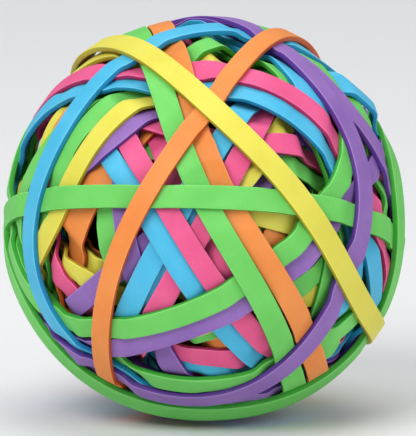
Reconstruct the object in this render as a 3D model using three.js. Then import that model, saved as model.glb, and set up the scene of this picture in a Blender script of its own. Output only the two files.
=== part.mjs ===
// A rubber band ball: flat rubber bands stretched one after another over a round heart of
// older bands. Every outer band is a closed flat strip that runs right round the ball, and
// it presses into the ball the bands that went on before it. Millimetres, +Z up, bench at
// Z = 0.
import * as THREE from 'three';
import { mergeVertices } from 'three/addons/utils/BufferGeometryUtils.js';

// Driving dimensions.
const BALL_RADIUS = 28;
const BAND_WIDTH = 3.2;
const BAND_THICKNESS = 0.8;
const HEART_RADIUS = 23.5;

// How much lower each earlier band starts, how much thinner the bands over it squeeze it,
// and how far a corner stands out past the mean of its neighbours.
const LAYER_DROP = 0.045;
const SQUEEZE = 0.007;
const BULGE = 1.05;
const RISING_ROUNDS = 30;

// Clearances that keep neighbouring solids apart.
const SEAT_GAP = 0.1;
const SIDE_GAP = 0.15;

// How finely the heart and the bands are faceted.
const HEART_DETAIL = 8;
const FLATS = 54;
const FLAT_TURN = (2 * Math.PI) / FLATS;

// How finely an inner face is felt by what lies under it. Each corner of the heart looks for
// it this far round, and a band's course feels it only this near: both in radians.
const FEELERS_ALONG = 7;
const FEELERS_ACROSS = 7;
const HEART_REACH = 0.15;
const NEAR_ANGLE = 1;

// How readily a course bends: the strength of each wave round the ball, and the slack
// with which it follows its places.
const WAVE_STRENGTHS = [1, 0.1, 0.1, 0.04, 0.02];
const PLACE_SLACK = 0.003;

// How strongly a course's plane is drawn to the ball's middle, and how its axis is found.
const CENTRE_PULL = 0.2;
const AXIS_ROUNDS = 12;
const TINY = 1e-6;

// The face of the ball, which the places below are given on, looks this far upwards. Each
// earlier band is met this much deeper on it, and no place is nearer than this to its rim.
const FACE_LIFT = 10;
const SINKING = 0.07;
const LIMB = 0.998;

const RUBBER_ROUGHNESS = 0.55;
const COLOURS = {
  green: 0x5fc85a,
  blue: 0x4db9e8,
  orange: 0xf2934a,
  yellow: 0xdddb4a,
  pink: 0xe75c92,
  purple: 0x9b72be,
  heart: 0x3c3a36,
};

// The bands in the order they went on, innermost first. Each is given by its colour and
// by a few places that its middle line passes over, as [degrees to the right, degrees up]
// on the ball's face.
const BANDS = [
  ['blue', [56, -6], [65, -19]],
  ['green', [28, -19], [36, -13]],
  ['green', [52, -39], [61, -30]],
  ['green', [38, -13], [37, -28]],
  ['green', [24, 15], [37, 11]],
  ['pink', [-16, 26], [-2, -1], [10, -19]],
  ['blue', [-53, -18], [-51, -26]],
  ['green', [-28, 1], [-27, -8], [-25, -21]],
  ['orange', [-30, 14], [-40, -6]],
  ['yellow', [-75, 5], [-56, -11], [-43, -12], [-35, -17], [-20, -31], [2, -29]],
  ['pink', [-49, -7], [-48, -15], [-43, -21]],
  ['purple', [-48, -27], [-34, -20], [-20, -10]],
  ['blue', [-53, -42], [-28, -45], [-6, -47], [13, -47], [32, -47], [50, -42]],
  ['pink', [-53, -39], [-28, -40], [-10, -42], [10, -41], [30, -45], [50, -40]],
  ['purple', [-23, 2], [-18, -30], [-11, -49]],
  ['yellow', [24, 25], [12, 12]],
  ['pink', [-83, 24], [-62, 34], [-38, 34], [-18, 29], [20, 21], [33, 19], [45, 18], [60, 12]],
  ['blue', [12, 31], [6, 21]],
  ['pink', [18, 29], [8, 13], [-14, -25]],
  ['blue', [-14, -10], [-24, -26]],
  ['blue', [-48, 30], [-32, 20], [-19, 5], [-6, -16], [7, -33], [29, -48]],
  ['pink', [-25, 23], [-10, 2], [1, -16], [16, -33]],
  ['purple', [46, 22], [23, 37], [0, 43], [-17, 29], [-26, 25], [-33, 20], [-43, 12], [-55, 0]],
  ['yellow',
    [-30, 60], [-44, 42], [-52, 30], [-60, 20], [-58, 5], [-59, -12], [-60, -30], [-50, -52]],
  ['orange', [-30, 60], [-42, 42], [-47, 30], [-57, 20], [-58, 5], [-59, -18], [-50, -52]],
  ['green',
    [-30, 60], [-42, 38], [-47, 28], [-53, 17], [-61, 11], [-66, 5], [-62, -6], [-60, -30],
    [-50, -52]],
  ['pink', [52, 30], [57, 12], [62, -3], [67, -12], [75, -20]],
  ['green', [-29, 36], [-39, 30], [-45, 19], [-47, 8], [-54, -5]],
  ['yellow',
    [75, -10], [60, -2], [46, 22], [25, 38], [0, 44], [-18, 35], [-35, 26], [-41, 9], [-47, -3],
    [-57, -9], [-63, -18]],
  ['yellow', [-85, 44], [-60, 51], [-30, 52], [0, 52], [18, 56], [42, 55], [60, 50], [100, 35]],
  ['green', [29, 50], [37, 35], [44, 12], [50, -25]],
  ['green', [-79, 35], [-56, 43], [-30, 47], [-7, 54], [8, 60], [30, 62], [90, 50]],
  ['green', [65, 54], [63, 40], [62, 28], [62, 15], [63, 8], [66, -5]],
  ['blue', [36, 50], [40, 38], [43, 27], [51, 5], [50, -8], [46, -29]],
  ['blue', [-105, -20], [-75, -38], [-43, -52], [-31, -58], [10, -64], [50, -58], [90, -40]],
  ['purple',
    [-105, -25], [-75, -42], [-41, -49], [-27, -57], [-3, -61], [30, -60], [70, -50], [100, -35]],
  ['green', [-39, -46], [-7, -55], [26, -50]],
  ['blue', [-83, 24], [-62, 36], [-32, 42], [0, 42], [23, 34], [43, 16], [57, -13], [63, -20]],
  ['pink', [-79, 37], [-56, 45], [-30, 47], [1, 47], [32, 37], [47, 20], [67, -12]],
  ['purple',
    [-78, -20], [-53, -39], [-28, -39], [-7, -34], [13, -24], [34, -9], [52, 11], [80, 22],
    [115, 35]],
  ['blue',
    [130, 2], [110, 15], [78, 28], [72, 36], [62, 47], [40, 66], [-10, 76], [-130, 60],
    [-125, 30]],
  ['green',
    [-76, -3], [-64, -25], [-49, -32], [-18, -31], [14, -18], [34, 1], [49, 18], [56, 33],
    [60, 48]],
  ['purple',
    [0, 82], [38, 70], [46, 56], [51, 41], [58, 30], [64, 22], [69, 14], [70, 5], [81, -20],
    [120, -75], [-110, -30], [-125, 30]],
  ['orange', [-46, 72], [-17, 57], [-8, 44], [0, 20], [8, 2], [19, -13], [34, -32], [50, -45]],
  ['green', [-48, 64], [-25, 51], [-11, 30], [1, 2], [12, -15], [31, -41], [50, -55]],
  ['green', [-80, 0], [-65, 4], [-31, 6], [1, 6], [35, 3], [60, -2], [80, -9]],
  ['blue',
    [120, 30], [90, 55], [45, 67], [-4, 69], [-30, 64], [-35, 50], [-49, 36], [-53, 23],
    [-57, 11], [-60, -6], [-60, -18], [-61, -30], [-58, -46], [-47, -53], [-32, -59], [-8, -68],
    [30, -75], [100, -62]],
  ['purple',
    [-140, 70], [160, 85], [36, 73], [46, 56], [50, 40], [51, 28], [52, 18], [53, 8], [52, -2],
    [48, -13], [46, -21], [43, -36], [33, -52], [4, -63], [-29, -62], [-45, -56], [-85, -30],
    [-125, 5]],
  ['orange',
    [120, 52], [80, 63], [44, 64], [26, 56], [12, 45], [-7, 23], [-15, 11], [-26, -12],
    [-33, -24], [-41, -37], [-48, -48], [-59, -57]],
  ['green',
    [140, 38], [100, 24], [76, 20], [72, 15], [75, 6], [79, -10], [80, -19], [79, -41], [74, -62],
    [-5, -74], [-65, -59], [-76, -37], [-84, -18], [-100, 0], [-120, 15]],
  ['yellow',
    [-135, 36], [-90, 58], [-60, 59], [-27, 54], [-4, 38], [23, 12], [41, -11], [54, -22],
    [82, -33]],
];

// The unit vector to a place on the face, which looks along -Y. A band that runs deeper, at
// the given radius, stands farther out from the middle of the face to be met there.
function placeDirection([right, up], radius) {
  const a = THREE.MathUtils.degToRad(right);
  const b = THREE.MathUtils.degToRad(up);
  const across = new THREE.Vector2(Math.sin(a) * Math.cos(b), Math.sin(b));
  across.multiplyScalar(BALL_RADIUS / radius).clampLength(0, LIMB);
  const depth = Math.sqrt(1 - across.lengthSq()) * (Math.cos(a) > 0 ? -1 : 1);
  return new THREE.Vector3(across.x, depth, across.y);
}

// Solves a small set of linear equations by elimination with row exchange.
function solveLinear(matrix, values) {
  const rows = matrix.map((row, i) => [...row, values[i]]);
  const count = rows.length;
  for (let column = 0; column < count; column += 1) {
    const below = rows.slice(column).map((row) => Math.abs(row[column]));
    const best = column + below.indexOf(Math.max(...below));
    [rows[column], rows[best]] = [rows[best], rows[column]];
    for (let r = 0; r < count; r += 1) {
      if (r !== column) {
        const factor = rows[r][column] / rows[column][column];
        rows[r] = rows[r].map((value, k) => value - factor * rows[column][k]);
      }
    }
  }
  return rows.map((row, i) => row[count] / row[i]);
}

// The axis that the places go round: the direction in which they spread least about one
// plane. The plane's own stand-off from the ball's middle is held small by CENTRE_PULL.
function courseAxis(directions) {
  const sum = directions.reduce((total, d) => total.add(d), new THREE.Vector3()).toArray();
  const count = directions.length + CENTRE_PULL;
  const spread = sum.map((a, i) => sum.map((b, j) => {
    const products = directions.map((d) => d.getComponent(i) * d.getComponent(j));
    return products.reduce((total, product) => total + product, 0) - (a * b) / count;
  }));
  const steady = spread.map((row, i) => row.map((value, j) => value + (i === j ? TINY : 0)));
  const last = directions[directions.length - 1];
  let axis = new THREE.Vector3().crossVectors(directions[0], last).normalize();
  for (let round = 0; round < AXIS_ROUNDS; round += 1) {
    axis = new THREE.Vector3(...solveLinear(steady, axis.toArray())).normalize();
  }
  return axis;
}

// A course is a closed path over a round ball: an axis, two directions across it, and a
// lean, which is how far the path stands off the plane square to the axis at each turn.
function layCourse(places, radius) {
  const directions = places.map((place) => placeDirection(place, radius));
  const axis = courseAxis(directions);
  const start = directions[0].clone().projectOnPlane(axis).normalize();
  const quarter = new THREE.Vector3().crossVectors(axis, start);
  const turnOf = (point) => Math.atan2(point.dot(quarter), point.dot(start));
  const turns = directions.map(turnOf);
  const leans = directions.map((direction) => Math.asin(direction.dot(axis)));
  const wave = (angle) => WAVE_STRENGTHS.reduce((sum, s, k) => sum + s * Math.cos(k * angle), 0);
  const links = turns.map((a, i) => turns.map((b, j) => wave(a - b) + (i === j ? PLACE_SLACK : 0)));
  const pulls = solveLinear(links, leans);
  const leanAt = (turn) => pulls.reduce((sum, pull, i) => sum + pull * wave(turn - turns[i]), 0);
  return { axis, start, quarter, turnOf, leanAt };
}

// The two directions of a band's cross-section at a turn: away from the ball and sideways.
function sectionDirections(course, turn) {
  const lean = course.leanAt(turn);
  const flat = course.start.clone().multiplyScalar(Math.cos(turn));
  flat.addScaledVector(course.quarter, Math.sin(turn));
  const out = flat.clone().multiplyScalar(Math.cos(lean));
  out.addScaledVector(course.axis, Math.sin(lean));
  const side = flat.multiplyScalar(-Math.sin(lean));
  side.addScaledVector(course.axis, Math.cos(lean));
  return { lean, out, side };
}

// What holds a course down, sorted by flat, as points [turn past the flat's start, distance
// from the axis]: every later band's inner face where it crosses over the strip.
function ceilingPoints(course, feelers) {
  const reach = BAND_WIDTH / 2 + SIDE_GAP;
  const ceilings = Array.from({ length: FLATS }, () => []);
  for (const point of feelers) {
    const length = point.length();
    const turn = (course.turnOf(point) + 2 * Math.PI) % (2 * Math.PI);
    const lean = course.leanAt(turn);
    const offset = Math.asin(point.dot(course.axis) / length) - lean;
    if (Math.abs(length * Math.sin(offset)) < reach && Math.abs(offset) < NEAR_ANGLE) {
      const flat = Math.min(FLATS - 1, Math.floor(turn / FLAT_TURN));
      const radius = (length * Math.cos(offset) - SEAT_GAP) * Math.cos(lean);
      ceilings[flat].push([turn - flat * FLAT_TURN, radius]);
    }
  }
  return ceilings;
}

// Seen along its axis a band is a polygon. Its corners start low and rise in turn, each as
// far as its two flats clear their ceilings. On a flat, one over the distance from the axis
// is a mean of its values at the two ends, weighted by the sines of the turns.
function riseCorners(ceilings, lofts) {
  const full = Math.sin(FLAT_TURN);
  const flatsOf = (v) => [ceilings[(v + FLATS - 1) % FLATS], ceilings[v]];
  const near = ceilings.map((_, v) => {
    const radii = flatsOf(v).flat().map(([, radius]) => radius);
    return 1 / Math.min(lofts[v], ...radii);
  });
  for (let round = 0; round < RISING_ROUNDS; round += 1) {
    for (let v = 0; v < FLATS; v += 1) {
      const before = near[(v + FLATS - 1) % FLATS];
      const after = near[(v + 1) % FLATS];
      const [last, next] = flatsOf(v);
      let limit = Math.max(1 / lofts[v], (before + after) / 2 / BULGE);
      for (const [past, radius] of next) {
        const rest = full / radius - after * Math.sin(past);
        limit = Math.max(limit, rest / Math.sin(FLAT_TURN - past));
      }
      for (const [past, radius] of last) {
        const rest = full / radius - before * Math.sin(FLAT_TURN - past);
        limit = Math.max(limit, rest / Math.sin(Math.max(past, TINY)));
      }
      near[v] = Math.max(limit, near[v] + (limit - near[v]) / 2);
    }
  }
  return near.map((value) => 1 / value);
}

function pressedStations(course, ceilings, loft, thickness) {
  const sections = ceilings.map((_, v) => sectionDirections(course, v * FLAT_TURN));
  const lofts = sections.map(({ lean }) => loft * Math.cos(lean));
  return riseCorners(ceilings, lofts).map((radius, v) => {
    const top = radius / Math.cos(sections[v].lean);
    return { ...sections[v], top, bottom: top - thickness };
  });
}

// The four corners of a band's cross-section, inner pair first.
function sectionCorners(station) {
  const half = BAND_WIDTH / 2;
  const corner = (height, offset) => station.out.clone().multiplyScalar(height)
    .addScaledVector(station.side, offset);
  return [
    corner(station.bottom, -half),
    corner(station.bottom, half),
    corner(station.top, half),
    corner(station.top, -half),
  ];
}

// A closed flat strip through the stations: four faces between each two cross-sections.
function bandGeometry(stations) {
  const positions = stations.flatMap(sectionCorners).flatMap((corner) => corner.toArray());
  const index = [];
  for (let s = 0; s < stations.length; s += 1) {
    const next = (s + 1) % stations.length;
    for (let c = 0; c < 4; c += 1) {
      const d = (c + 1) % 4;
      index.push(s * 4 + c, s * 4 + d, next * 4 + d);
      index.push(s * 4 + c, next * 4 + d, next * 4 + c);
    }
  }
  const geometry = new THREE.BufferGeometry();
  geometry.setAttribute('position', new THREE.Float32BufferAttribute(positions, 3));
  geometry.setIndex(index);
  return geometry;
}

// Points all over a band's inner face, which the bands under it keep clear of.
function innerFeelers(stations) {
  const points = [];
  stations.forEach((station, s) => {
    const near = sectionCorners(station);
    const far = sectionCorners(stations[(s + 1) % stations.length]);
    for (let i = 0; i < FEELERS_ALONG; i += 1) {
      const left = near[0].clone().lerp(far[0], i / FEELERS_ALONG);
      const right = near[1].clone().lerp(far[1], i / FEELERS_ALONG);
      for (let j = 0; j < FEELERS_ACROSS; j += 1) {
        points.push(left.clone().lerp(right, j / (FEELERS_ACROSS - 1)));
      }
    }
  });
  return points;
}

function rubber(colour) {
  return new THREE.MeshStandardMaterial({
    color: COLOURS[colour],
    roughness: RUBBER_ROUGHNESS,
    metalness: 0,
  });
}

// The heart: the older bands, wound into one solid that fits close under the outer bands.
function heartMesh(feelers) {
  const ball = new THREE.IcosahedronGeometry(HEART_RADIUS, HEART_DETAIL);
  ball.deleteAttribute('normal');
  ball.deleteAttribute('uv');
  const geometry = mergeVertices(ball);
  const corners = geometry.attributes.position;
  const reach = Math.cos(HEART_REACH);
  for (let i = 0; i < corners.count; i += 1) {
    const out = new THREE.Vector3().fromBufferAttribute(corners, i).normalize();
    const over = feelers.filter((point) => point.dot(out) > point.length() * reach);
    const lowest = Math.min(...over.map((point) => point.length() - SEAT_GAP));
    out.multiplyScalar(Math.min(HEART_RADIUS, lowest));
    corners.setXYZ(i, out.x, out.y, out.z);
  }
  const mesh = new THREE.Mesh(geometry, rubber('heart'));
  mesh.name = 'wound_heart';
  return mesh;
}

// Lays every band in turn, from the last one down, each under all of those over it.
function layBands(feelers) {
  const meshes = BANDS.map(([colour, ...places], i) => {
    const course = layCourse(places, BALL_RADIUS - SINKING * (BANDS.length - 1 - i));
    const mesh = new THREE.Mesh(undefined, rubber(colour));
    mesh.name = `band_${String(i + 1).padStart(2, '0')}_${colour}`;
    return { course, mesh };
  });
  [...meshes].reverse().forEach(({ course, mesh }, over) => {
    const loft = BALL_RADIUS - LAYER_DROP * over;
    const thickness = BAND_THICKNESS - SQUEEZE * over;
    const stations = pressedStations(course, ceilingPoints(course, feelers), loft, thickness);
    feelers.push(...innerFeelers(stations));
    mesh.geometry = bandGeometry(stations);
  });
  return meshes.map(({ mesh }) => mesh);
}

const feelers = [];
const bands = layBands(feelers);
const wound = new THREE.Group();
wound.add(heartMesh(feelers), ...bands);
wound.rotation.x = -THREE.MathUtils.degToRad(FACE_LIFT);
wound.updateMatrixWorld(true);

// The ball stands on the bench.
const bench = new THREE.Box3().setFromObject(wound, true).min.z;
wound.position.z = -bench;

const ball = new THREE.Group();
ball.add(wound);

export default ball;
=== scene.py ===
"""A rubber band ball. Every band is a flat strip of soft rubber carried along its own
closed course round the ball, and each one is pressed in where a later band crosses it."""

import math

import bpy
import numpy as np
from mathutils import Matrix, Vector


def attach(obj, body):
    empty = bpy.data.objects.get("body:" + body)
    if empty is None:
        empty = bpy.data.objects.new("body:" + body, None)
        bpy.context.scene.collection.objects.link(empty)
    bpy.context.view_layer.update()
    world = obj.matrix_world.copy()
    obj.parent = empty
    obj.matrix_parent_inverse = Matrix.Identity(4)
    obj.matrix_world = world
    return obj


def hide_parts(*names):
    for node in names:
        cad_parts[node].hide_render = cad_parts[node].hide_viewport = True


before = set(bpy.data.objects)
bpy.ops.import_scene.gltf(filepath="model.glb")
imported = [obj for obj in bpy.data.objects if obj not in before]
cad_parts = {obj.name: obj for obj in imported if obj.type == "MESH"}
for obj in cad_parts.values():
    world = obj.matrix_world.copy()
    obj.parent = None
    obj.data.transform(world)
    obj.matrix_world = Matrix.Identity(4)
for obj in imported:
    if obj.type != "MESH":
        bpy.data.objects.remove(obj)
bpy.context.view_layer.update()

# ---------------------------------------------------------------- sizes, in millimetres
MM = 0.001
BALL_RADIUS = 28.0
CENTRE_HEIGHT = 27.65
FACE_LIFT = 10.0
BAND_WIDTH = 3.2
BAND_THICKNESS = 0.85
SQUEEZE = 0.006
LAYER_DROP = 0.045
SINKING = 0.07
SEAT = -0.08
EDGE_ROUNDING = 0.13
HEART_RADIUS = 17.0

# How a course bends, as in the part: the strength of each wave round the ball, the slack
# with which it follows its places, and the pull of its plane to the ball's middle.
WAVE_STRENGTHS = np.array([1.0, 0.1, 0.1, 0.04, 0.02])
PLACE_SLACK = 0.003
CENTRE_PULL = 0.2
# A place is met at most this far out from the middle of the face, in ball radii.
LIMB = 0.998

# The fine course: steps round the ball and lanes across a band. A pressed band stays flat
# for a little way, then rises by so many millimetres for each square millimetre, and leans
# across by no more than the steepest lean.
STEPS = 720
LANES = 7
RISE = 0.16
PRESS_REACH = 10.0
FLAT_UNDER = 0.35
MOST_LEAN = 0.5
SOFTNESS = 0.45
SIDE_GAP = 0.1
LEAST_THICKNESS = 0.55
STEP = 2 * math.pi * BALL_RADIUS / STEPS
TURNS = np.arange(STEPS) * 2 * math.pi / STEPS
LANE_PLACES = np.linspace(-0.5, 0.5, LANES) * BAND_WIDTH

# The drawn strips: sections round each band, and the waves round it that its width has,
# with the spread of their strength and the range of their starting angle in radians.
OUTER_SECTIONS = 400
OLDER_SECTIONS = 260
WIDTH_WAVES = (2, 3, 5, 8)
WIDTH_SPREAD = 0.012
WAVE_START = 6.28

# The strips of all the older bands have seeds from OLDER_SEED on.
FILLERS = 26
FILLER_SEED = 7
OLDER_SEED = 100

# The camera: its distance and its shift to the right in metres, the width of its sensor in
# millimetres, and the height of what it sees in ball radii.
CAMERA_DISTANCE = 2.5
CAMERA_SHIFT = 0.0004
SENSOR_WIDTH = 36.0
VIEW_RADII = 2.14778

# ---------------------------------------------------------------- the bands
# Innermost first. Places are [degrees to the right, degrees up] on the ball's face.
OLDER_BANDS = [
    ("purple", (-68, 0), (-69, -9)),
    ("blue", (-67, 25), (-71, 14), (-74, 8)),
    ("purple", (17, 12), (4, -12), (-3, -30)),
    ("orange", (-34, 73), (2, 75)),
    ("orange", (19, -5), (-2, -37)),
    ("orange", (-14, -35), (4, -36)),
    ("yellow", (14, 1), (26, -2)),
    ("green", (65, 15), (65, 2)),
]
OUTER_BANDS = [
    ("blue", (56, -6), (65, -19)),
    ("green", (28, -19), (36, -13)),
    ("green", (52, -39), (61, -30)),
    ("green", (38, -13), (37, -28)),
    ("green", (24, 15), (37, 11)),
    ("pink", (-16, 26), (-2, -1), (10, -19)),
    ("blue", (-53, -18), (-51, -26)),
    ("green", (-28, 1), (-27, -8), (-25, -21)),
    ("orange", (-30, 14), (-40, -6)),
    ("yellow", (-75, 5), (-56, -11), (-43, -12), (-35, -17), (-20, -31), (2, -29)),
    ("pink", (-49, -7), (-48, -15), (-43, -21)),
    ("purple", (-48, -27), (-34, -20), (-20, -10)),
    ("blue", (-53, -42), (-28, -45), (-6, -47), (13, -47), (32, -47), (50, -42)),
    ("pink", (-53, -39), (-28, -40), (-10, -42), (10, -41), (30, -45), (50, -40)),
    ("purple", (-23, 2), (-18, -30), (-11, -49)),
    ("yellow", (24, 25), (12, 12)),
    ("pink", (-83, 24), (-62, 34), (-38, 34), (-18, 29), (20, 21), (33, 19), (45, 18), (60, 12)),
    ("blue", (12, 31), (6, 21)),
    ("pink", (18, 29), (8, 13), (-14, -25)),
    ("blue", (-14, -10), (-24, -26)),
    ("blue", (-48, 30), (-32, 20), (-19, 5), (-6, -16), (7, -33), (29, -48)),
    ("pink", (-25, 23), (-10, 2), (1, -16), (16, -33)),
    ("purple", (46, 22), (23, 37), (0, 43), (-17, 29), (-26, 25), (-33, 20), (-43, 12), (-55, 0)),
    (
        "yellow",
        (-30, 60), (-44, 42), (-52, 30), (-60, 20), (-58, 5), (-59, -12), (-60, -30),
        (-50, -52),
    ),
    ("orange", (-30, 60), (-42, 42), (-47, 30), (-57, 20), (-58, 5), (-59, -18), (-50, -52)),
    (
        "green",
        (-30, 60), (-42, 38), (-47, 28), (-53, 17), (-61, 11), (-66, 5), (-62, -6), (-60, -30),
        (-50, -52),
    ),
    ("pink", (52, 30), (57, 12), (62, -3), (67, -12), (75, -20)),
    ("green", (-29, 36), (-39, 30), (-45, 19), (-47, 8), (-54, -5)),
    (
        "yellow",
        (75, -10), (60, -2), (46, 22), (25, 38), (0, 44), (-18, 35), (-35, 26), (-41, 9),
        (-47, -3), (-57, -9), (-63, -18),
    ),
    ("yellow", (-85, 44), (-60, 51), (-30, 52), (0, 52), (18, 56), (42, 55), (60, 50), (100, 35)),
    ("green", (29, 50), (37, 35), (44, 12), (50, -25)),
    ("green", (-79, 35), (-56, 43), (-30, 47), (-7, 54), (8, 60), (30, 62), (90, 50)),
    ("green", (65, 54), (63, 40), (62, 28), (62, 15), (63, 8), (66, -5)),
    ("blue", (36, 50), (40, 38), (43, 27), (51, 5), (50, -8), (46, -29)),
    ("blue", (-105, -20), (-75, -38), (-43, -52), (-31, -58), (10, -64), (50, -58), (90, -40)),
    (
        "purple",
        (-105, -25), (-75, -42), (-41, -49), (-27, -57), (-3, -61), (30, -60), (70, -50),
        (100, -35),
    ),
    ("green", (-39, -46), (-7, -55), (26, -50)),
    ("blue", (-83, 24), (-62, 36), (-32, 42), (0, 42), (23, 34), (43, 16), (57, -13), (63, -20)),
    ("pink", (-79, 37), (-56, 45), (-30, 47), (1, 47), (32, 37), (47, 20), (67, -12)),
    (
        "purple",
        (-78, -20), (-53, -39), (-28, -39), (-7, -34), (13, -24), (34, -9), (52, 11), (80, 22),
        (115, 35),
    ),
    (
        "blue",
        (130, 2), (110, 15), (78, 28), (72, 36), (62, 47), (40, 66), (-10, 76), (-130, 60),
        (-125, 30),
    ),
    (
        "green",
        (-76, -3), (-64, -25), (-49, -32), (-18, -31), (14, -18), (34, 1), (49, 18), (56, 33),
        (60, 48),
    ),
    (
        "purple",
        (0, 82), (38, 70), (46, 56), (51, 41), (58, 30), (64, 22), (69, 14), (70, 5), (81, -20),
        (120, -75), (-110, -30), (-125, 30),
    ),
    ("orange", (-46, 72), (-17, 57), (-8, 44), (0, 20), (8, 2), (19, -13), (34, -32), (50, -45)),
    ("green", (-48, 64), (-25, 51), (-11, 30), (1, 2), (12, -15), (31, -41), (50, -55)),
    ("green", (-80, 0), (-65, 4), (-31, 6), (1, 6), (35, 3), (60, -2), (80, -9)),
    (
        "blue",
        (120, 30), (90, 55), (45, 67), (-4, 69), (-30, 64), (-35, 50), (-49, 36), (-53, 23),
        (-57, 11), (-60, -6), (-60, -18), (-61, -30), (-58, -46), (-47, -53), (-32, -59),
        (-8, -68), (30, -75), (100, -62),
    ),
    (
        "purple",
        (-140, 70), (160, 85), (36, 73), (46, 56), (50, 40), (51, 28), (52, 18), (53, 8),
        (52, -2), (48, -13), (46, -21), (43, -36), (33, -52), (4, -63), (-29, -62), (-45, -56),
        (-85, -30), (-125, 5),
    ),
    (
        "orange",
        (120, 52), (80, 63), (44, 64), (26, 56), (12, 45), (-7, 23), (-15, 11), (-26, -12),
        (-33, -24), (-41, -37), (-48, -48), (-59, -57),
    ),
    (
        "green",
        (140, 38), (100, 24), (76, 20), (72, 15), (75, 6), (79, -10), (80, -19), (79, -41),
        (74, -62), (-5, -74), (-65, -59), (-76, -37), (-84, -18), (-100, 0), (-120, 15),
    ),
    (
        "yellow",
        (-135, 36), (-90, 58), (-60, 59), (-27, 54), (-4, 38), (23, 12), (41, -11), (54, -22),
        (82, -33),
    ),
]

# Where a band stands proud of the ball, is pressed in (a lift below zero) or leans over:
# (band number, place, lift in millimetres, lean across, and how many degrees it reaches).
PROUD_PLACES = [
    (51, (-90, 54), 0.4, 0.0, 22),
    (51, (82, -33), 0.8, 0.0, 14),
    (50, (-5, -74), 0.2, -0.25, 60),
    (49, (50, 64), 0.4, 0.0, 20),
    (50, (80, 28), -0.6, 0.0, 8),
    (47, (85, 50), -0.8, 0.0, 12),
    (42, (58, 42), -0.7, 0.0, 14),
    (41, (77, 29), 0.7, 0.0, 9),
]
# Bands that are narrower or wider than the rest, in millimetres.
ODD_WIDTHS = {9: 5.0, 21: 3.0, 22: 3.0, 40: 2.9, 45: 3.3, 49: 2.75, 51: 3.3}


def place_directions(places, radius):
    """Unit vectors to places on the face, which looks along -Y: longitude then latitude on
    the whole ball. A band that runs deeper, at the given radius, has to stand farther out
    from the middle of the face to be met at the same place from the front."""
    right, up = np.radians(np.array(places, float)).T
    across = np.stack([np.sin(right) * np.cos(up), np.sin(up)], 1) * BALL_RADIUS / radius
    reach = np.linalg.norm(across, axis=1)
    across = across * np.minimum(1, LIMB / reach)[:, None]
    depth = np.sqrt(1 - (across**2).sum(1)) * np.where(np.cos(right) > 0, -1, 1)
    return np.stack([across[:, 0], depth, across[:, 1]], 1)


class Course:
    """A closed path over a round ball. Its axis is the direction in which its places spread
    least about one plane, and lean(turn) is a sum of cosine waves centred on the places,
    as strong as it takes for the path to pass over each of them."""

    def __init__(self, places, radius):
        d = place_directions(places, radius)
        total = d.sum(0)
        spread = d.T @ d - np.outer(total, total) / (len(d) + CENTRE_PULL)
        axis = np.linalg.eigh(spread)[1][:, 0]
        if axis @ np.cross(d[0], d[-1]) < 0:
            axis = -axis
        start = d[0] - (d[0] @ axis) * axis
        self.axis = axis
        self.start = start / np.linalg.norm(start)
        self.quarter = np.cross(axis, self.start)
        self.place_turns = np.arctan2(d @ self.quarter, d @ self.start)
        links = self.wave(self.place_turns[:, None] - self.place_turns)
        links = links + PLACE_SLACK * np.eye(len(d))
        self.pulls = np.linalg.solve(links, np.arcsin(d @ axis))

    @staticmethod
    def wave(angle):
        """The sum over k of strength k times the cosine of k times the angle."""
        k = np.arange(len(WAVE_STRENGTHS))
        return (np.cos(np.asarray(angle)[..., None] * k) * WAVE_STRENGTHS).sum(-1)

    def lean(self, turn):
        """How far the path stands off the plane square to its axis, in radians."""
        return self.wave(np.asarray(turn)[..., None] - self.place_turns) @ self.pulls

    def section(self, turn):
        """The cross-section's outward and sideways unit vectors at each turn."""
        lean = self.lean(turn)[:, None]
        flat = np.cos(turn)[:, None] * self.start + np.sin(turn)[:, None] * self.quarter
        out = np.cos(lean) * flat + np.sin(lean) * self.axis
        side = -np.sin(lean) * flat + np.cos(lean) * self.axis
        return out, side

    def feel(self, points):
        """(turn, sideways distance, height) of points as this course's sections see them."""
        length = np.linalg.norm(points, axis=1)
        turn = np.arctan2(points @ self.quarter, points @ self.start) % (2 * math.pi)
        table = np.arange(STEPS + 1) * 2 * math.pi / STEPS
        lean = np.interp(turn, table, self.lean(table))
        angle = np.arcsin(np.clip(points @ self.axis / length, -1, 1)) - lean
        return turn, length * np.sin(angle), length * np.cos(angle)


def shifted(rows, reach):
    """The rows round the ball, and the same rows moved by every step up to the reach."""
    offsets = np.arange(-reach, reach + 1)
    return offsets, np.stack([np.roll(rows, k, axis=0) for k in offsets])


def soften(rows, width_mm):
    """Closed rows of heights, blurred round the ball by a bell curve that wide."""
    offsets, moved = shifted(rows, int(3 * width_mm / STEP) + 1)
    bell = np.exp(-0.5 * (offsets * STEP / width_mm) ** 2)
    return np.tensordot(bell / bell.sum(), moved, 1)


def press_down(rows):
    """Each height is the least, over its neighbourhood round the ball, of a ceiling plus the
    rise times the square of the distance to it, and then the least across the band of a
    ceiling plus the steepest lean times the distance."""
    offsets, moved = shifted(rows, int(PRESS_REACH / STEP))
    past = np.maximum(0, np.abs(offsets) * STEP - FLAT_UNDER)
    rows = (moved + RISE * past[:, None, None] ** 2).min(0)
    apart = np.abs(LANE_PLACES[:, None] - LANE_PLACES)
    return (rows[:, None, :] + MOST_LEAN * apart).min(2)


def proud_shape(course, number, radius):
    """The extra height and lean of a band at each turn: a bell curve round each place."""
    extra = np.zeros((2, STEPS))
    for band, place, lift, lean, reach in PROUD_PLACES:
        if band == number:
            d = place_directions([place], radius)[0]
            turn = math.atan2(d @ course.quarter, d @ course.start)
            apart = (np.degrees(TURNS - turn) + 180) % 360 - 180
            bell = np.exp(-0.5 * (apart / reach) ** 2)
            extra += np.array([[lift], [lean]]) * bell
    return extra


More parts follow.
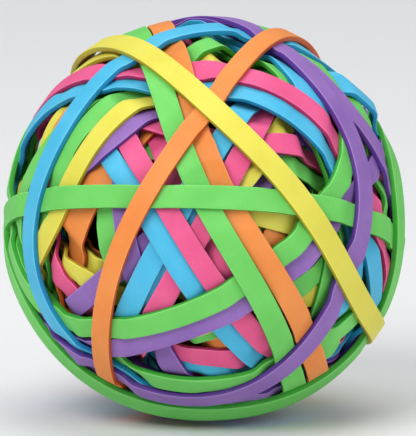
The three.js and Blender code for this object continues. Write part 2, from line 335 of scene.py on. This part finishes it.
def settle(course, ceilings, loft, width):
    """The outer face of a band all the way round, pressed in by the inner faces of the bands
    over it: rows of middle height, slope and bow, so that the height at a sideways distance
    y is height + slope * y + bow * y squared."""
    rows = np.tile(loft[:, None], (1, LANES))
    if len(ceilings):
        turn, across, height = course.feel(ceilings)
        under = (np.abs(across) < width / 2 + SIDE_GAP) & (height > 0)
        turn, across, height = turn[under], across[under], height[under] - SEAT
        at = (turn / (2 * math.pi) * STEPS).astype(int) % STEPS
        lane = np.clip(np.rint((across / width + 0.5) * (LANES - 1)), 0, LANES - 1)
        np.minimum.at(rows, (at, lane.astype(int)), height)
    rows = soften(press_down(rows), SOFTNESS)
    y = LANE_PLACES * width / BAND_WIDTH
    powers = np.stack([y**0, y, y**2], 1)
    shape = rows @ np.linalg.pinv(powers).T
    above = np.maximum(0, shape @ powers.T - rows).max(1)
    shape[:, 0] -= above / 2
    return shape


def inner_face(course, shape, width, thickness):
    """Points all over a band's inner face, lane by lane."""
    out, side = course.section(TURNS)
    y = LANE_PLACES[None, :] * width / BAND_WIDTH
    height = shape[:, :1] + shape[:, 1:2] * y + shape[:, 2:] * y**2 - thickness
    points = out[:, None, :] * height[..., None] + side[:, None, :] * y[..., None]
    return points.reshape(-1, 3)


def lay_bands(bands):
    """Lays every band from the last one down, each under all of those over it. Gives
    (course, outer face, width, thickness) for each, in the order they went on."""
    laid = []
    ceilings = np.zeros((0, 3))
    for over, (_, *places) in enumerate(reversed(bands)):
        number = len(OUTER_BANDS) - over
        radius = BALL_RADIUS - SINKING * over
        course = Course(places, radius)
        width = ODD_WIDTHS.get(number, BAND_WIDTH)
        thickness = max(LEAST_THICKNESS, BAND_THICKNESS - SQUEEZE * over)
        lift, lean = proud_shape(course, number, radius)
        shape = settle(course, ceilings, BALL_RADIUS - LAYER_DROP * over + lift, width)
        shape[:, 1] += lean
        ceilings = np.concatenate([ceilings, inner_face(course, shape, width, thickness)])
        laid.append((course, shape, width, thickness))
    return laid[::-1]


def band_profile(width, thickness):
    """A flat band's section as (sideways, outward) points from its outer face's middle
    line, and each point's painted shading: 0.5 on the outer face, 1 (a painted highlight) on its
    two outer edges and 0 (painted shade) on the cut sides. It is a rectangle with small round
    corners of three points each."""
    r = EDGE_ROUNDING
    points, painted_shading = [], []
    # Tones at each corner: 0.8 is a painted highlight on an outer edge, 0.1 and 0 are painted
    # shade down the cut sides and over the inner face.
    corners = [
        ((1, 0), (0.1, 0.8, 0.5)),
        ((-1, 0), (0.5, 0.8, 0.1)),
        ((-1, -1), (0, 0, 0)),
        ((1, -1), (0, 0, 0)),
    ]
    for quadrant, ((x, y), tones) in enumerate(corners):
        centre = (x * (width / 2 - r), y * thickness + (-r if y == 0 else r))
        for angle, tone in zip((0, 45, 90), tones):
            turn = math.radians(angle + 90 * quadrant)
            points.append((centre[0] + r * math.cos(turn), centre[1] + r * math.sin(turn)))
            painted_shading.append(tone)
        if quadrant == 0:
            for x in (width / 2 - 2.5 * r, 0, 2.5 * r - width / 2):
                points.append((x, 0))
                painted_shading.append(0.5)
    return np.array(points), np.array(painted_shading)


def to_part(points):
    """Turns the face up by its lift, raises the ball onto the bench and gives metres."""
    a = -math.radians(FACE_LIFT)
    x, y, z = points.T
    y, z = y * math.cos(a) - z * math.sin(a), y * math.sin(a) + z * math.cos(a)
    return np.stack([x, y, z + CENTRE_HEIGHT], 1) * MM


def strip_mesh(course, shape, width, thickness, steps, seed):
    """The band's profile carried round its course: at each turn its outer face follows the
    height, slope and bow, and its width swells and shrinks a little."""
    rng = np.random.default_rng(seed)
    turns = np.arange(steps) * 2 * math.pi / steps
    at = turns / (2 * math.pi) * STEPS
    ring = np.arange(STEPS + 1)
    shape = np.stack([np.interp(at, ring, np.append(v, v[0])) for v in shape.T], 1)
    waves = sum(
        rng.normal(0, WIDTH_SPREAD) * np.cos(k * turns + rng.uniform(0, WAVE_START))
        for k in WIDTH_WAVES
    )
    out, side = course.section(turns)
    # Each profile point carries its painted shading: painted shade on the cut sides, a painted
    # highlight on the outer edges.
    profile, painted_shading = band_profile(width, thickness)
    y = profile[:, 0][None, :] * (1 + waves)[:, None]
    height = shape[:, :1] + shape[:, 1:2] * y + shape[:, 2:] * y**2 + profile[:, 1][None, :]
    points = out[:, None, :] * height[..., None] + side[:, None, :] * y[..., None]
    count = len(profile)
    s, c = np.meshgrid(np.arange(steps), np.arange(count), indexing="ij")
    s2, c2 = (s + 1) % steps, (c + 1) % count
    quads = np.stack([s * count + c, s * count + c2, s2 * count + c2, s2 * count + c], -1)
    return to_part(points.reshape(-1, 3)), quads.reshape(-1, 4), np.tile(painted_shading, steps)


def mesh_object(name, points, quads, painted_shading, material):
    """A smooth-shaded mesh object at the origin from whole arrays of points and faces."""
    mesh = bpy.data.meshes.new(name)
    mesh.vertices.add(len(points))
    mesh.vertices.foreach_set("co", points.astype(np.float32).ravel())
    mesh.loops.add(quads.size)
    mesh.loops.foreach_set("vertex_index", quads.astype(np.int32).ravel())
    mesh.polygons.add(len(quads))
    mesh.polygons.foreach_set("loop_start", np.arange(0, quads.size, 4, dtype=np.int32))
    mesh.update(calc_edges=True)
    mesh.validate()
    mesh.polygons.foreach_set("use_smooth", np.ones(len(mesh.polygons), bool))
    # A per-point attribute of painted shading: painted shade on the cut sides, a painted
    # highlight on the outer edges.
    tones = mesh.attributes.new("painted_shading", "FLOAT", "POINT")
    tones.data.foreach_set("value", painted_shading.astype(np.float32))
    mesh.materials.append(material)
    piece = bpy.data.objects.new(name, mesh)
    bpy.context.scene.collection.objects.link(piece)
    return piece


# ---------------------------------------------------------------- materials
def node(tree, kind, **values):
    """A new shader node of one kind. Each value sets the setting of that name, or else the
    input socket of that name."""
    made = tree.nodes.new(kind)
    for key, value in values.items():
        if hasattr(made, key):
            setattr(made, key, value)
        else:
            made.inputs[key.replace("_", " ").title()].default_value = value
    return made


def srgb(r, g, b):
    """A colour given as sRGB parts of 255, made linear."""
    parts = np.array([r, g, b]) / 255
    linear = np.where(parts <= 0.04045, parts / 12.92, ((parts + 0.055) / 1.055) ** 2.4)
    return (*[float(v) for v in linear], 1.0)


def rubber_with_dust_and_painted_shading(name, deep, plain, pale):
    """Soft matt rubber. The cut sides get the deep tone as painted shade, the outer face is plain
    with a faint cloudiness, and its outer edges get the pale tone as a painted highlight; fine
    specks of dust lie over it all."""
    material = bpy.data.materials.new(name)
    material.use_nodes = True
    tree = material.node_tree
    shader = tree.nodes["Principled BSDF"]
    link = tree.links.new
    coordinates = node(tree, "ShaderNodeTexCoord")
    # Reads each point's painted shading, which picks painted shade or a painted highlight from
    # the tones below.
    painted_shading = node(tree, "ShaderNodeAttribute", attribute_name="painted_shading")
    clouds = node(tree, "ShaderNodeTexNoise", scale=180.0, detail=3.0)
    spread = node(tree, "ShaderNodeMapRange")
    spread.inputs["From Min"].default_value = 0.3
    spread.inputs["From Max"].default_value = 0.7
    spread.inputs["To Min"].default_value = -0.06
    spread.inputs["To Max"].default_value = 0.06
    tone = node(tree, "ShaderNodeMath", operation="ADD")
    # The deep tone is painted shade for the cut sides, the plain tone the rubber's own colour,
    # and the pale tone a painted highlight for the outer edges.
    tones = node(tree, "ShaderNodeValToRGB")
    tones.color_ramp.elements[0].position = 0.1
    tones.color_ramp.elements[0].color = deep
    tones.color_ramp.elements[1].position = 1.0
    tones.color_ramp.elements[1].color = pale
    middle = tones.color_ramp.elements.new(0.5)
    middle.color = plain
    specks = node(tree, "ShaderNodeTexNoise", scale=2600.0, detail=2.0)
    dust = node(tree, "ShaderNodeValToRGB")
    dust.color_ramp.elements[0].position = 0.66
    dust.color_ramp.elements[0].color = (0, 0, 0, 1)
    dust.color_ramp.elements[1].position = 0.8
    dust.color_ramp.elements[1].color = (0.2, 0.2, 0.2, 1)
    dusted = node(tree, "ShaderNodeMix", data_type="RGBA", blend_type="SCREEN")
    dusted.inputs["Factor"].default_value = 0.4
    skin = node(tree, "ShaderNodeTexNoise", scale=1500.0, detail=4.0)
    bump = node(tree, "ShaderNodeBump")
    bump.inputs["Strength"].default_value = 0.1
    bump.inputs["Distance"].default_value = 0.0002
    link(coordinates.outputs["Object"], clouds.inputs["Vector"])
    link(coordinates.outputs["Object"], specks.inputs["Vector"])
    link(coordinates.outputs["Object"], skin.inputs["Vector"])
    link(clouds.outputs["Fac"], spread.inputs["Value"])
    link(painted_shading.outputs["Fac"], tone.inputs[0])
    link(spread.outputs["Result"], tone.inputs[1])
    link(tone.outputs["Value"], tones.inputs["Fac"])
    link(specks.outputs["Fac"], dust.inputs["Fac"])
    link(tones.outputs["Color"], dusted.inputs["A"])
    link(dust.outputs["Color"], dusted.inputs["B"])
    link(dusted.outputs["Result"], shader.inputs["Base Color"])
    link(skin.outputs["Fac"], bump.inputs["Height"])
    link(bump.outputs["Normal"], shader.inputs["Normal"])
    shader.inputs["Roughness"].default_value = 0.55
    shader.inputs["Specular IOR Level"].default_value = 0.3
    shader.inputs["Subsurface Weight"].default_value = 0.15
    shader.inputs["Subsurface Radius"].default_value = (1.0, 1.0, 1.0)
    shader.inputs["Subsurface Scale"].default_value = 0.0006
    return material


# Three sRGB tones for each rubber: the first is painted shade for the cut sides, the second the
# rubber's own colour on the outer face, the third a painted highlight for the outer edges.
RUBBER_TONES = {
    "green": ((58, 160, 48), (107, 200, 93), (142, 224, 128)),
    "blue": ((28, 136, 184), (73, 180, 218), (134, 212, 238)),
    "orange": ((206, 88, 30), (230, 138, 66), (245, 172, 106)),
    "yellow": ((180, 168, 40), (219, 210, 80), (238, 233, 122)),
    "pink": ((180, 44, 92), (224, 86, 137), (245, 136, 176)),
    "purple": ((88, 52, 138), (141, 103, 176), (180, 149, 207)),
    "heart": ((60, 36, 48), (74, 46, 60), (88, 58, 70)),
}
BAND_COLOURS = ["green", "blue", "orange", "yellow", "pink", "purple"]
RUBBERS = {
    name: rubber_with_dust_and_painted_shading(f"{name}_rubber", *[srgb(*tone) for tone in tones])
    for name, tones in RUBBER_TONES.items()
}


# ---------------------------------------------------------------- the ball
def filling_bands(count, seed):
    """Older bands with no visible place of their own: great circles with random axes."""
    rng = np.random.default_rng(seed)
    bands = []
    for k in range(count):
        first, second = rng.uniform(-180, 180, 2), rng.uniform(-60, 60, 2)
        colour = BAND_COLOURS[k % len(BAND_COLOURS)]
        bands.append((colour, (first[0], second[0]), (first[1], second[1])))
    return bands


def wound_ball():
    """The outer bands, each in place of its CAD node, and the older bands under them."""
    fillers = filling_bands(FILLERS, FILLER_SEED)
    older = fillers + OLDER_BANDS
    laid = lay_bands(older + OUTER_BANDS)
    for number, (band, shape) in enumerate(zip(OUTER_BANDS, laid[len(older):]), 1):
        colour = band[0]
        piece = mesh_object(
            f"rubber_band_{number:02d}",
            *strip_mesh(*shape, OUTER_SECTIONS, number),
            RUBBERS[colour],
        )
        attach(piece, "root")
        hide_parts(f"band_{number:02d}_{colour}")
    for colour in BAND_COLOURS:
        gathered = [
            strip_mesh(*shape, OLDER_SECTIONS, OLDER_SEED + k)
            for k, (band, shape) in enumerate(zip(older, laid))
            if band[0] == colour
        ]
        if gathered:
            offsets = np.cumsum([0] + [len(p) for p, _, _ in gathered])
            points = np.concatenate([p for p, _, _ in gathered])
            quads = np.concatenate([q + o for (_, q, _), o in zip(gathered, offsets)])
            # The painted shade and painted highlight values of every point.
            painted_shading = np.concatenate([t for _, _, t in gathered])
            piece = mesh_object(f"older_bands_{colour}", points, quads, painted_shading, RUBBERS[colour])
            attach(piece, "root")
            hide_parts("wound_heart")


def heart_ball():
    """The tight middle of the ball: a round surface from two angles, closed at its poles by
    one point each."""
    rows, columns = 48, 96
    up = (np.arange(1, rows) / rows - 0.5) * math.pi
    round_ = np.arange(columns) * 2 * math.pi / columns
    u, r = np.meshgrid(up, round_, indexing="ij")
    body = np.stack([np.cos(u) * np.cos(r), np.cos(u) * np.sin(r), np.sin(u)], -1).reshape(-1, 3)
    points = np.concatenate([body, [[0, 0, -1], [0, 0, 1]]]) * HEART_RADIUS
    i, j = np.meshgrid(np.arange(rows - 2), np.arange(columns), indexing="ij")
    lower, upper, j2 = i * columns, (i + 1) * columns, (j + 1) % columns
    quads = np.stack([lower + j, lower + j2, upper + j2, upper + j], -1)
    low, high = len(body), len(body) + 1
    ring = np.arange(columns)
    after = (ring + 1) % columns
    top = (rows - 2) * columns
    faces = quads.reshape(-1, 4).tolist()
    faces += np.stack([np.full(columns, low), after, ring], -1).tolist()
    faces += np.stack([np.full(columns, high), top + ring, top + after], -1).tolist()
    mesh = bpy.data.meshes.new("heart_ball")
    mesh.from_pydata(to_part(points).tolist(), [], faces)
    mesh.polygons.foreach_set("use_smooth", np.ones(len(faces), bool))
    mesh.materials.append(RUBBERS["heart"])
    piece = bpy.data.objects.new("heart_ball", mesh)
    bpy.context.scene.collection.objects.link(piece)
    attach(piece, "root")
    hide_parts("wound_heart")


wound_ball()
heart_ball()


# ---------------------------------------------------------------- the studio
def pale_floor():
    """A plain pale sheet under the ball, with a faint mottle."""
    size = 3.0
    mesh = bpy.data.meshes.new("floor")
    corners = [(-size, -size, 0), (size, -size, 0), (size, size, 0), (-size, size, 0)]
    mesh.from_pydata(corners, [], [(0, 1, 2, 3)])
    material = bpy.data.materials.new("pale_floor")
    material.use_nodes = True
    tree = material.node_tree
    shader = tree.nodes["Principled BSDF"]
    mottle = node(tree, "ShaderNodeTexNoise", scale=4.0, detail=2.0)
    tones = node(tree, "ShaderNodeValToRGB")
    tones.color_ramp.elements[0].color = (0.80, 0.80, 0.81, 1)
    tones.color_ramp.elements[1].color = (0.84, 0.84, 0.85, 1)
    tree.links.new(mottle.outputs["Fac"], tones.inputs["Fac"])
    tree.links.new(tones.outputs["Color"], shader.inputs["Base Color"])
    shader.inputs["Roughness"].default_value = 0.8
    mesh.materials.append(material)
    floor = bpy.data.objects.new("floor", mesh)
    bpy.context.scene.collection.objects.link(floor)


def soft_light(name, place, size, power):
    """A square area light that faces the ball's middle."""
    light = bpy.data.lights.new(name, "AREA")
    light.shape = "SQUARE"
    light.size = size
    light.energy = power
    lamp = bpy.data.objects.new(name, light)
    lamp.location = place
    aim = Vector((0, 0, CENTRE_HEIGHT * MM)) - Vector(place)
    lamp.rotation_euler = aim.to_track_quat("-Z", "Y").to_euler()
    bpy.context.scene.collection.objects.link(lamp)


def studio():
    """A faint cool sky and three soft lamps: one up on the left, a weaker one on the right
    to fill the shade, and one overhead."""
    world = bpy.data.worlds.new("studio")
    world.use_nodes = True
    world.node_tree.nodes["Background"].inputs["Color"].default_value = (0.95, 0.97, 1, 1)
    world.node_tree.nodes["Background"].inputs["Strength"].default_value = 0.38
    bpy.context.scene.world = world
    soft_light("key", (-0.35, -0.55, 0.6), 0.5, 4.9)
    soft_light("fill", (0.5, -0.5, 0.25), 0.5, 1.4)
    soft_light("top", (0.05, 0.1, 0.8), 0.6, 2.8)


def camera():
    """A long lens level with the ball's lifted face."""
    data = bpy.data.cameras.new("camera")
    lift = math.radians(FACE_LIFT)
    data.sensor_width = SENSOR_WIDTH
    data.lens = SENSOR_WIDTH * CAMERA_DISTANCE / (VIEW_RADII * BALL_RADIUS * MM)
    data.clip_end = 50.0
    cam = bpy.data.objects.new("camera", data)
    cam.location = (
        CAMERA_SHIFT,
        -CAMERA_DISTANCE * math.cos(lift),
        CENTRE_HEIGHT * MM + CAMERA_DISTANCE * math.sin(lift),
    )
    cam.rotation_euler = (math.pi / 2 - lift, 0, 0)
    bpy.context.scene.collection.objects.link(cam)
    bpy.context.scene.camera = cam


pale_floor()
studio()
camera()
bpy.context.scene.view_settings.view_transform = "Standard"
